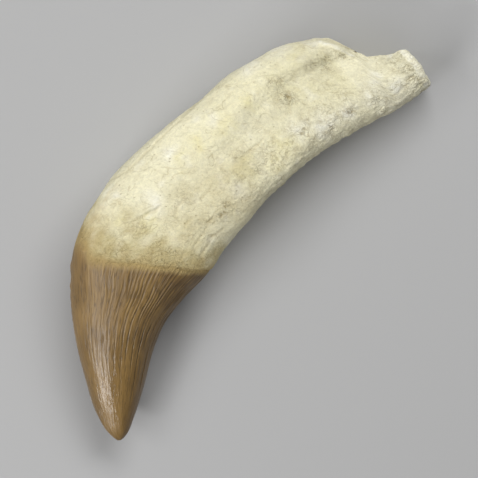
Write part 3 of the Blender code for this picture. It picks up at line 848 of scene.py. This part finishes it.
def fine_pits(tree, maps):
    """Small pits, worm-like furrows and hairlines too fine for the mesh: 0 outside them, up to 1 inside."""
    pores = {"Value": maps["pores"], "From Min": 0.2, "From Max": 0.1, "To Max": 0.5}
    pores = add_node(tree, "MapRange", pores)
    chosen = {"Value": maps["pore groups"], "From Min": 0.52, "From Max": 0.62}
    chosen = add_node(tree, "MapRange", chosen)
    chosen = add_node(tree, "Math", {0: chosen, 1: maps["pitted"]}, operation="MAXIMUM")
    pores = add_node(tree, "Math", {0: pores, 1: chosen}, operation="MULTIPLY")

    lines = []
    for name, width, depth, share in (
        ("worm furrows", 0.05, 0.9, maps["pitted"]),
        ("hairlines", 0.012, 0.35, 1.0),
    ):
        away = add_node(tree, "Math", {0: maps[name], 1: 0.5}, operation="SUBTRACT")
        away = add_node(tree, "Math", {0: away}, operation="ABSOLUTE")
        line = {"Value": away, "From Min": width, "From Max": 0.0, "To Max": depth}
        line = add_node(tree, "MapRange", line)
        lines.append(add_node(tree, "Math", {0: line, 1: share}, operation="MULTIPLY"))
    stretches = {"Value": maps["pore groups"], "From Min": 0.56, "From Max": 0.46}
    stretches = add_node(tree, "MapRange", stretches)
    lines = add_node(tree, "Math", {0: lines[0], 1: lines[1]}, operation="MAXIMUM")
    lines = add_node(tree, "Math", {0: lines, 1: stretches}, operation="MULTIPLY")
    return add_node(tree, "Math", {0: pores, 1: lines}, operation="MAXIMUM")


def fine_relief(tree, maps, pits, furrows):
    """Height of what the mesh is too coarse for: the bone's grain and pits, the enamel's striae."""
    strength = {"Value": maps["pitted"], "To Min": GRAIN_RELIEF[0], "To Max": GRAIN_RELIEF[1]}
    strength = add_node(tree, "MapRange", strength)
    grain = add_node(tree, "Math", {0: maps["grain"], 1: strength}, operation="MULTIPLY")
    nodules = add_node(tree, "Math", {0: maps["nodules"], 1: NODULE_RELIEF}, operation="MULTIPLY")
    nodules = add_node(tree, "Math", {0: nodules, 1: maps["pitted"]}, operation="MULTIPLY")
    sunk = add_node(tree, "Math", {0: pits, 1: PIT_RELIEF}, operation="MULTIPLY")
    bone = add_node(tree, "Math", {0: grain, 1: sunk}, operation="ADD")
    bone = add_node(tree, "Math", {0: bone, 1: nodules}, operation="ADD")

    striae = add_node(tree, "Math", {0: maps["striae"], 1: STRIAE_RELIEF}, operation="MULTIPLY")
    cut = add_node(tree, "Math", {0: furrows, 1: FURROW_RELIEF}, operation="MULTIPLY")
    striae = add_node(tree, "Math", {0: striae, 1: cut}, operation="ADD")
    return add_node(tree, "Mix", {0: maps["enamel"], 2: bone, 3: striae})


def tooth_material(colours, mask_names):
    """Fossil enamel over cementum: satin, mineral-stained enamel above, dull and porous root below.

    Enamel is nearly all apatite and keeps a polish, so it reflects the softboxes. Cementum is porous, so it
    scatters light and looks dry. Both have an index of refraction of about 1.6.
    """
    material, tree = empty_material("Fossil enamel and cementum, mineral stained")
    straight = add_node(tree, "Attribute", attribute_name="straight", out="Vector")
    maps = {name: add_node(tree, "Attribute", attribute_name=name, out="Fac") for name in mask_names}
    for name, pattern in PATTERNS.items():
        stretched = add_node(tree, "Mapping", {"Vector": straight, "Scale": (1.0, 1.0, pattern.stretch)})
        noise = {"Vector": stretched, "Scale": per_metre(pattern.size), "Detail": pattern.detail}
        noise |= {"Roughness": pattern.roughness, "Distortion": pattern.distortion}
        maps[name] = add_node(tree, "TexNoise", noise)
    for name, size in CELL_PATTERNS.items():
        cells = {"Vector": straight, "Scale": per_metre(size)}
        maps[name] = add_node(tree, "TexVoronoi", cells, out="Distance")

    pits = fine_pits(tree, maps)
    furrows = fine_furrows(tree, maps)
    bone = root_colour(tree, colours, maps, pits)
    # Tan at the enamel's end, partly a stain and partly painted shade of the lip
    stained = {MIX_SHARE: maps["stain"], MIX_A: bone, MIX_B: colours.neck_stain}
    bone = add_node(tree, "Mix", stained, **COLOUR_MIX)
    crown = enamel_colour(tree, colours, maps, furrows)
    colour = add_node(tree, "Mix", {MIX_SHARE: maps["enamel"], MIX_A: bone, MIX_B: crown}, **COLOUR_MIX)

    polish = {
        "Value": add_node(tree, "SeparateXYZ", {"Vector": straight}, out="Z"),
        "From Min": POLISH_FROM * MM,
        "From Max": POLISH_TO * MM,
        "To Min": TIP_ROUGHNESS,
        "To Max": NECK_ROUGHNESS,
    }
    polish = add_node(tree, "MapRange", polish)
    roughness = add_node(tree, "Mix", {0: maps["enamel"], 2: BONE_ROUGHNESS, 3: polish})
    height = fine_relief(tree, maps, pits, furrows)
    normal = add_node(tree, "Bump", {"Height": height, "Distance": MM})
    surface = {"Base Color": colour, "Roughness": roughness, "IOR": APATITE_IOR, "Normal": normal}
    shader = add_node(tree, "BsdfPrincipled", surface)
    add_node(tree, "OutputMaterial", {"Surface": shader})
    return material


def floor_material(colours):
    """Matte coated backdrop paper: even and pale, with no gloss and a fine tooth too small to see."""
    material, tree = empty_material("Matte backdrop paper")
    fibres = add_node(tree, "TexNoise", {"Scale": per_metre(1.5), "Detail": 3.0})
    normal = add_node(tree, "Bump", {"Height": fibres, "Distance": 0.02 * MM})
    surface = {"Base Color": colours.floor, "Roughness": 0.95, "IOR": 1.45, "Normal": normal}
    shader = add_node(tree, "BsdfPrincipled", surface)
    add_node(tree, "OutputMaterial", {"Surface": shader})
    return material


def view_directions():
    """The photograph's right and up, as directions on the floor."""
    right = Vector((math.cos(VIEW_TURN), -math.sin(VIEW_TURN), 0))
    return right, Vector((math.sin(VIEW_TURN), math.cos(VIEW_TURN), 0))


def add_softbox(name, place, size, power):
    """A softbox that faces the tooth, from its place to the right, up and above in the view, and its size."""
    right, up = view_directions()
    light = bpy.data.lights.new(name, "AREA")
    light.shape = "RECTANGLE"
    light.size, light.size_y = size
    light.energy = power
    softbox = bpy.data.objects.new(name, light)
    from_tooth = right * place[0] + up * place[1] + Vector((0, 0, place[2]))
    softbox.location = Vector(VIEW_CENTRE) * MM + from_tooth
    softbox.rotation_euler = from_tooth.to_track_quat("Z", "Y").to_euler()
    bpy.context.scene.collection.objects.link(softbox)


def add_camera():
    """A camera that looks straight down at the tooth."""
    camera_data = bpy.data.cameras.new("Camera")
    camera_data.lens, camera_data.sensor_width = LENS, SENSOR
    camera_data.clip_start, camera_data.clip_end = CLIP_START, CLIP_END
    camera = bpy.data.objects.new("Camera", camera_data)
    right, up = view_directions()
    away = VIEW_WIDTH * MM * LENS / SENSOR
    axes = Matrix((right, up, Vector((0, 0, 1)))).transposed().to_4x4()
    camera.matrix_world = Matrix.Translation(Vector(VIEW_CENTRE) * MM + Vector((0, 0, away))) @ axes
    bpy.context.scene.collection.objects.link(camera)
    bpy.context.scene.camera = camera


class MESH_OT_fossil_tooth(bpy.types.Operator):
    """Add the fossil tooth with its enamel, root and broken end"""

    bl_idname = "mesh.fossil_tooth"
    bl_label = "Add fossil tooth"

    def execute(self, context):
        scene = context.scene
        mesh, mask_names = tooth_mesh(scene.fossil_tooth_shape)
        mesh.materials.append(tooth_material(scene.fossil_tooth_colours, mask_names))
        tooth = bpy.data.objects.new("fossil_tooth", mesh)
        scene.collection.objects.link(tooth)
        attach(tooth, "root")
        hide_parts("tooth")
        return {"FINISHED"}


class SCENE_OT_fossil_tooth_studio(bpy.types.Operator):
    """Add the floor, the softboxes and the camera that looks straight down"""

    bl_idname = "scene.fossil_tooth_studio"
    bl_label = "Add studio"

    def execute(self, context):
        studio = context.scene.fossil_tooth_studio
        bpy.ops.mesh.primitive_plane_add(size=FLOOR_SIZE, location=(0, 0, -FLOOR_GAP * MM))
        floor = context.active_object
        floor.name = "studio_floor"
        floor.data.materials.append(floor_material(studio))
        add_softbox("Key softbox", KEY_PLACE, KEY_SIZE, studio.key_power)
        add_softbox("Second softbox", SECOND_PLACE, SECOND_SIZE, studio.second_power)
        add_softbox("Strip softbox", STRIP_PLACE, STRIP_SIZE, studio.strip_power)
        world = bpy.data.worlds.new("Studio walls")
        world.use_nodes = True
        world.node_tree.nodes["Background"].inputs["Color"].default_value = (1, 1, 1, 1)
        world.node_tree.nodes["Background"].inputs["Strength"].default_value = studio.fill
        context.scene.world = world
        context.scene.view_settings.view_transform = "Standard"
        add_camera()
        return {"FINISHED"}


class VIEW3D_PT_fossil_tooth(bpy.types.Panel):
    """Settings of the tooth and its studio, with the button that adds each"""

    bl_idname = "VIEW3D_PT_fossil_tooth"
    bl_label = "Fossil tooth"
    bl_space_type = "VIEW_3D"
    bl_region_type = "UI"
    bl_category = "Fossil tooth"

    def draw(self, context):
        scene = context.scene
        for settings in (scene.fossil_tooth_shape, scene.fossil_tooth_colours):
            for name in settings.__annotations__:
                self.layout.prop(settings, name)
        self.layout.operator(MESH_OT_fossil_tooth.bl_idname)
        for name in scene.fossil_tooth_studio.__annotations__:
            self.layout.prop(scene.fossil_tooth_studio, name)
        self.layout.operator(SCENE_OT_fossil_tooth_studio.bl_idname)


CLASSES = (
    FossilToothShape,
    FossilToothColours,
    FossilToothStudio,
    MESH_OT_fossil_tooth,
    SCENE_OT_fossil_tooth_studio,
    VIEW3D_PT_fossil_tooth,
)


def register():
    for cls in CLASSES:
        bpy.utils.register_class(cls)
    bpy.types.Scene.fossil_tooth_shape = PointerProperty(type=FossilToothShape)
    bpy.types.Scene.fossil_tooth_colours = PointerProperty(type=FossilToothColours)
    bpy.types.Scene.fossil_tooth_studio = PointerProperty(type=FossilToothStudio)


def unregister():
    del bpy.types.Scene.fossil_tooth_studio
    del bpy.types.Scene.fossil_tooth_colours
    del bpy.types.Scene.fossil_tooth_shape
    for cls in reversed(CLASSES):
        bpy.utils.unregister_class(cls)


def main():
    register()
    bpy.ops.mesh.fossil_tooth()
    bpy.ops.scene.fossil_tooth_studio()
    bpy.context.view_layer.update()


if __name__ == "__main__":
    main()
